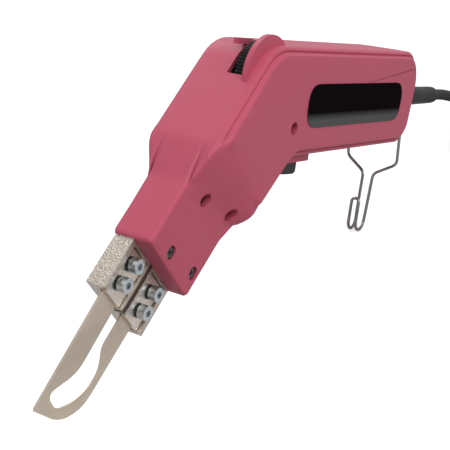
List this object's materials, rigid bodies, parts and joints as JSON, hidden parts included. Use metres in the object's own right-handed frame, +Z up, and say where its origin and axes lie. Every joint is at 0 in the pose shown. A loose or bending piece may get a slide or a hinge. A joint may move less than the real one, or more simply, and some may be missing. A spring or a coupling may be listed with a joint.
{
  "type": "electric hot knife",
  "caption": "Hand-held electric hot knife with a slotted sheet blade clamped in two electrodes, a bent clamshell body, trigger, temperature wheel, wire stand and mains cord.",
  "frame": {"origin": "centre of the tool's footprint box (without its cord), on the ground that the blade's tip and the stand's foot touch", "axes": "+X from the blade back to the cord end, +Y to the tool's right side, +Z up"},
  "size_m": [0.6477, 0.0543, 0.1438],
  "materials": {
    "body_plastic": "moulded satin",
    "label_black": "gloss",
    "black_plastic": "moulded satin",
    "screw_steel": "zinc, dull",
    "zinc_steel": "bright zinc",
    "nickel_block": "hammered nickel",
    "nickel_plate": "smooth nickel",
    "blade_steel": "satin, heat tinted",
    "bright_wire": "bright",
    "shaft_steel": "turned",
    "insulator": "pressed fibre",
    "board": "lacquered",
    "core_steel": "varnished sheets",
    "copper": "enamelled",
    "cord_rubber": "satin",
    "pin_brass": "bright"
  },
  "bodies": {
    "tool": {"left_shell": "body_plastic", "right_shell": "body_plastic", "case_screws": "screw_steel", "label_plate": "label_black", "potentiometer": "board", "control_board": "board", "trigger_spring": "shaft_steel", "switch_body": "black_plastic", "transformer_core": "core_steel", "primary_winding": "copper", "secondary_strap": "copper", "electrode_carrier": "insulator", "carrier_screws": "screw_steel", "upper_electrode": "nickel_block", "lower_electrode": "nickel_block", "electrode_insulator": "insulator", "upper_clamp_plate": "nickel_plate", "lower_clamp_plate": "nickel_plate", "clamp_screws": "zinc_steel", "spring_washers": "zinc_steel", "blade": "blade_steel", "cord_boot": "cord_rubber", "cord_clamp": "black_plastic", "clamp_bar_screws": "screw_steel", "power_cord": "cord_rubber", "cord_coil": "cord_rubber", "cord_tail": "cord_rubber", "cord_tie": "cord_rubber", "plug_body": "cord_rubber", "plug_pins": "pin_brass"},
    "stand": {"wire_stand": "bright_wire"},
    "trigger": {"trigger": "black_plastic"},
    "dial": {"temperature_dial": "black_plastic", "dial_shaft": "shaft_steel"}
  },
  "joints": [
    {"name": "stand_swing", "type": "hinge", "parent": "tool", "child": "stand", "pos_m": [0.10998, 0, 0.06642], "axis": [0, -1, 0], "range_deg": [0, 80]},
    {"name": "trigger_press", "type": "slide", "parent": "tool", "child": "trigger", "axis": [0.1817, 0, 0.9834], "range_m": [0, 0.004], "stiffness_N_per_m": 600, "springref_m": -0.004, "deforming": ["trigger_spring"]},
    {"name": "dial_turn", "type": "hinge", "parent": "tool", "child": "dial", "pos_m": [-0.04406, -0.0074, 0.12437], "axis": [0, 1, 0], "range_deg": [-135, 135]}
  ]
}
